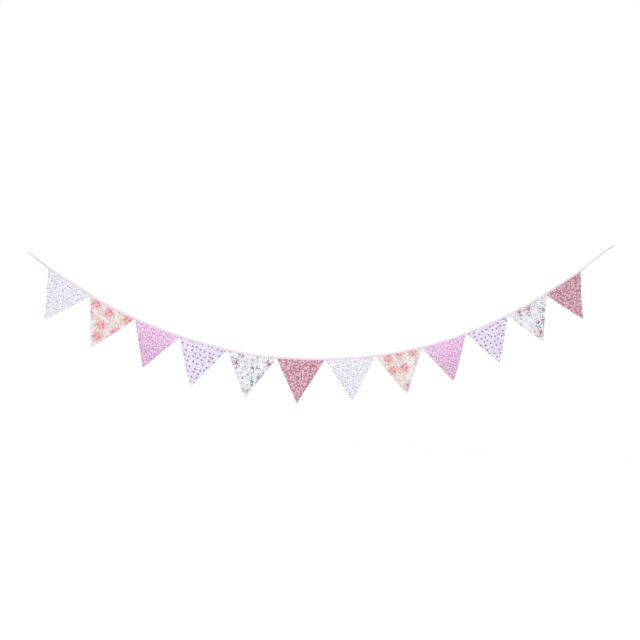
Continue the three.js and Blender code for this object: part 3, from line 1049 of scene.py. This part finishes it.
def make_tape():
    """The folded tape with both ties, in place of its solid."""
    along = np.linspace(0, TAPE_LENGTH, round(TAPE_LENGTH / RING) + 1)
    half = tape_section(along, inside_half(along))
    loop = half + [(-width, depth) for width, depth in reversed(half[1:-1])]
    count = len(loop)
    points = np.stack([tape_point(along, width, depth) for width, depth in loop], 1)
    widths = np.stack([width for width, depth in loop] + [loop[0][0]], 1)
    depths = np.stack([depth for width, depth in loop] + [loop[0][1]], 1)
    girth = np.cumsum(np.hypot(np.diff(widths, axis=1), np.diff(depths, axis=1)), axis=1)
    girth = np.concatenate([0 * girth[:, :1], girth], axis=1)
    faces = []
    uvs = []
    for ring in range(len(along) - 1):
        for k in range(count):
            other = (k + 1) % count
            low, high = ring * count, (ring + 1) * count
            faces.append((low + k, low + other, high + other, high + k))
            for place, step in ((ring, k), (ring, k + 1), (ring + 1, k + 1), (ring + 1, k)):
                uvs.append((along[place] / UV_UNIT, girth[place, step] / UV_UNIT))
    last = (len(along) - 1) * count
    for cut, place in ((range(count - 1, -1, -1), 0), (range(last, last + count), -1)):
        faces.append(tuple(cut))
        uvs += [(widths[place, i % count] / UV_UNIT, depths[place, i % count] / UV_UNIT) for i in cut]
    piece = new_piece("bias_tape", points.reshape(-1, 3), faces, "tape", {"cloth": uvs})
    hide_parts("tape")


make_tape()

# The stitching: one joined mesh of short threads along both sides of the tape. A ring's row is its
# place from the stitch's middle to its end, its share of the thickness and how proud it stands.
THREAD_RADIUS = 0.17
STITCH_LENGTH = 2.2
THREAD_SIDES = 6
STITCH_RINGS = ((-1, 0.35, 0.15), (-0.75, 0.85, 0.7), (0, 1, 1), (0.75, 0.85, 0.7), (1, 0.35, 0.15))
STITCH_START = 4
STITCH_SUNK = 0.35
STITCH_SLANT = 0.12
STITCH_WAVER = 0.15


def make_stitches():
    """Both rows of stitches, each a short thread that tapers into the tape at its ends."""
    middles = np.arange(STITCH_START, TAPE_LENGTH - STITCH_START, STITCH_PITCH) + STITCH_PITCH / 2
    points = []
    faces = []
    for side in (-1, 1):
        rings = []
        for at, size, proud in STITCH_RINGS:
            along = middles + at * STITCH_LENGTH / 2
            surface = inside_half(along) + TAPE_LAYER - stitch_pull(along, STITCH_DEPTH)
            surface += side_bulge(STITCH_DEPTH)
            back = side * (surface + THREAD_RADIUS * (proud - STITCH_SUNK))
            depth = STITCH_DEPTH + STITCH_SLANT * at + uneven(along, STITCH_WAVER)
            radius = THREAD_RADIUS * size
            for turn in np.arange(THREAD_SIDES) * 2 * math.pi / THREAD_SIDES:
                outward = back + radius * math.sin(turn)
                rings.append(tape_point(along, outward, depth + radius * math.cos(turn)))
        block = np.stack(rings, 1)
        first = sum(len(rows) for rows in points)
        points.append(block.reshape(-1, 3))
        for stitch in range(len(middles)):
            base = first + stitch * len(rings)
            for ring in range(len(STITCH_RINGS) - 1):
                for k in range(THREAD_SIDES):
                    low = base + ring * THREAD_SIDES
                    other = (k + 1) % THREAD_SIDES
                    faces.append((low + k, low + other, low + other + THREAD_SIDES, low + k + THREAD_SIDES))
            end = base + (len(STITCH_RINGS) - 1) * THREAD_SIDES
            faces.append(tuple(range(base + THREAD_SIDES - 1, base - 1, -1)))
            faces.append(tuple(range(end, end + THREAD_SIDES)))
    new_piece("stitching", np.concatenate(points), faces, "tape", finish=THREAD_FINISH)


make_stitches()

# The studio: a plain white room, with a soft light above in front and a wider one behind on the
# right. At this lens and distance a pixel of the picture is 4 mm at the flags.
AIM = (1.1325, 0, -0.2639)
CAMERA_AWAY = 3.0
CAMERA_TURN = math.radians(-6)
LENS = 42.19
SENSOR_WIDTH = 36
FLOOR_DROP = 1.6
FLOOR_REACH = 5
FLOOR_SIDES = 96
FLOOR_PATCH = 0.4


def point_light(name, place, size, power, colour):
    """A round soft light that faces the flags."""
    data = bpy.data.lights.new(name, "AREA")
    data.shape = "DISK"
    data.size = size
    data.energy = power
    data.color = colour
    light = bpy.data.objects.new(name, data)
    bpy.context.scene.collection.objects.link(light)
    light.location = place
    toward = Vector(AIM) - Vector(place)
    light.rotation_euler = toward.to_track_quat("-Z", "Y").to_euler()


point_light("key_light", place=(1.0, -2.1, 0.8), size=1.0, power=14, colour=(1.0, 0.995, 0.99))
point_light("rear_light", place=(2.6, 2.8, 1.4), size=2.0, power=18, colour=(0.96, 0.98, 1.0))

world = bpy.data.worlds.new("white_room")
world.use_nodes = True
sky = world.node_tree.nodes["Background"]
sky.inputs["Color"].default_value = (1, 1, 1, 1)
sky.inputs["Strength"].default_value = 1.0
bpy.context.scene.world = world


def make_floor():
    """A wide white disc well below the flags."""
    corners = []
    for angle in np.linspace(0, 2 * math.pi, FLOOR_SIDES, endpoint=False):
        corners.append((AIM[0] + FLOOR_REACH * math.cos(angle), FLOOR_REACH * math.sin(angle), -FLOOR_DROP))
    mesh = bpy.data.meshes.new("floor")
    mesh.from_pydata(corners, [], [tuple(range(FLOOR_SIDES))])
    floor = bpy.data.objects.new("floor", mesh)
    bpy.context.scene.collection.objects.link(floor)
    net = Net("floor_paint")
    where = net.add("ShaderNodeTexCoord", out="Object")
    paint = net.mix(net.noise(where, FLOOR_PATCH), tone(252, 252, 252, 1), tone(255, 255, 255, 1))
    surface = net.add("ShaderNodeBsdfPrincipled", {"Base Color": paint, "Roughness": 0.9})
    mesh.materials.append(net.finish(surface))


make_floor()

camera_data = bpy.data.cameras.new("camera")
camera_data.lens = LENS
camera_data.sensor_width = SENSOR_WIDTH
camera = bpy.data.objects.new("camera", camera_data)
bpy.context.scene.collection.objects.link(camera)
away = (CAMERA_AWAY * math.sin(CAMERA_TURN), -CAMERA_AWAY * math.cos(CAMERA_TURN), 0)
camera.location = Vector(AIM) + Vector(away)
camera.rotation_euler = (math.pi / 2, 0, CAMERA_TURN)
bpy.context.scene.camera = camera
bpy.context.scene.view_settings.view_transform = "Standard"
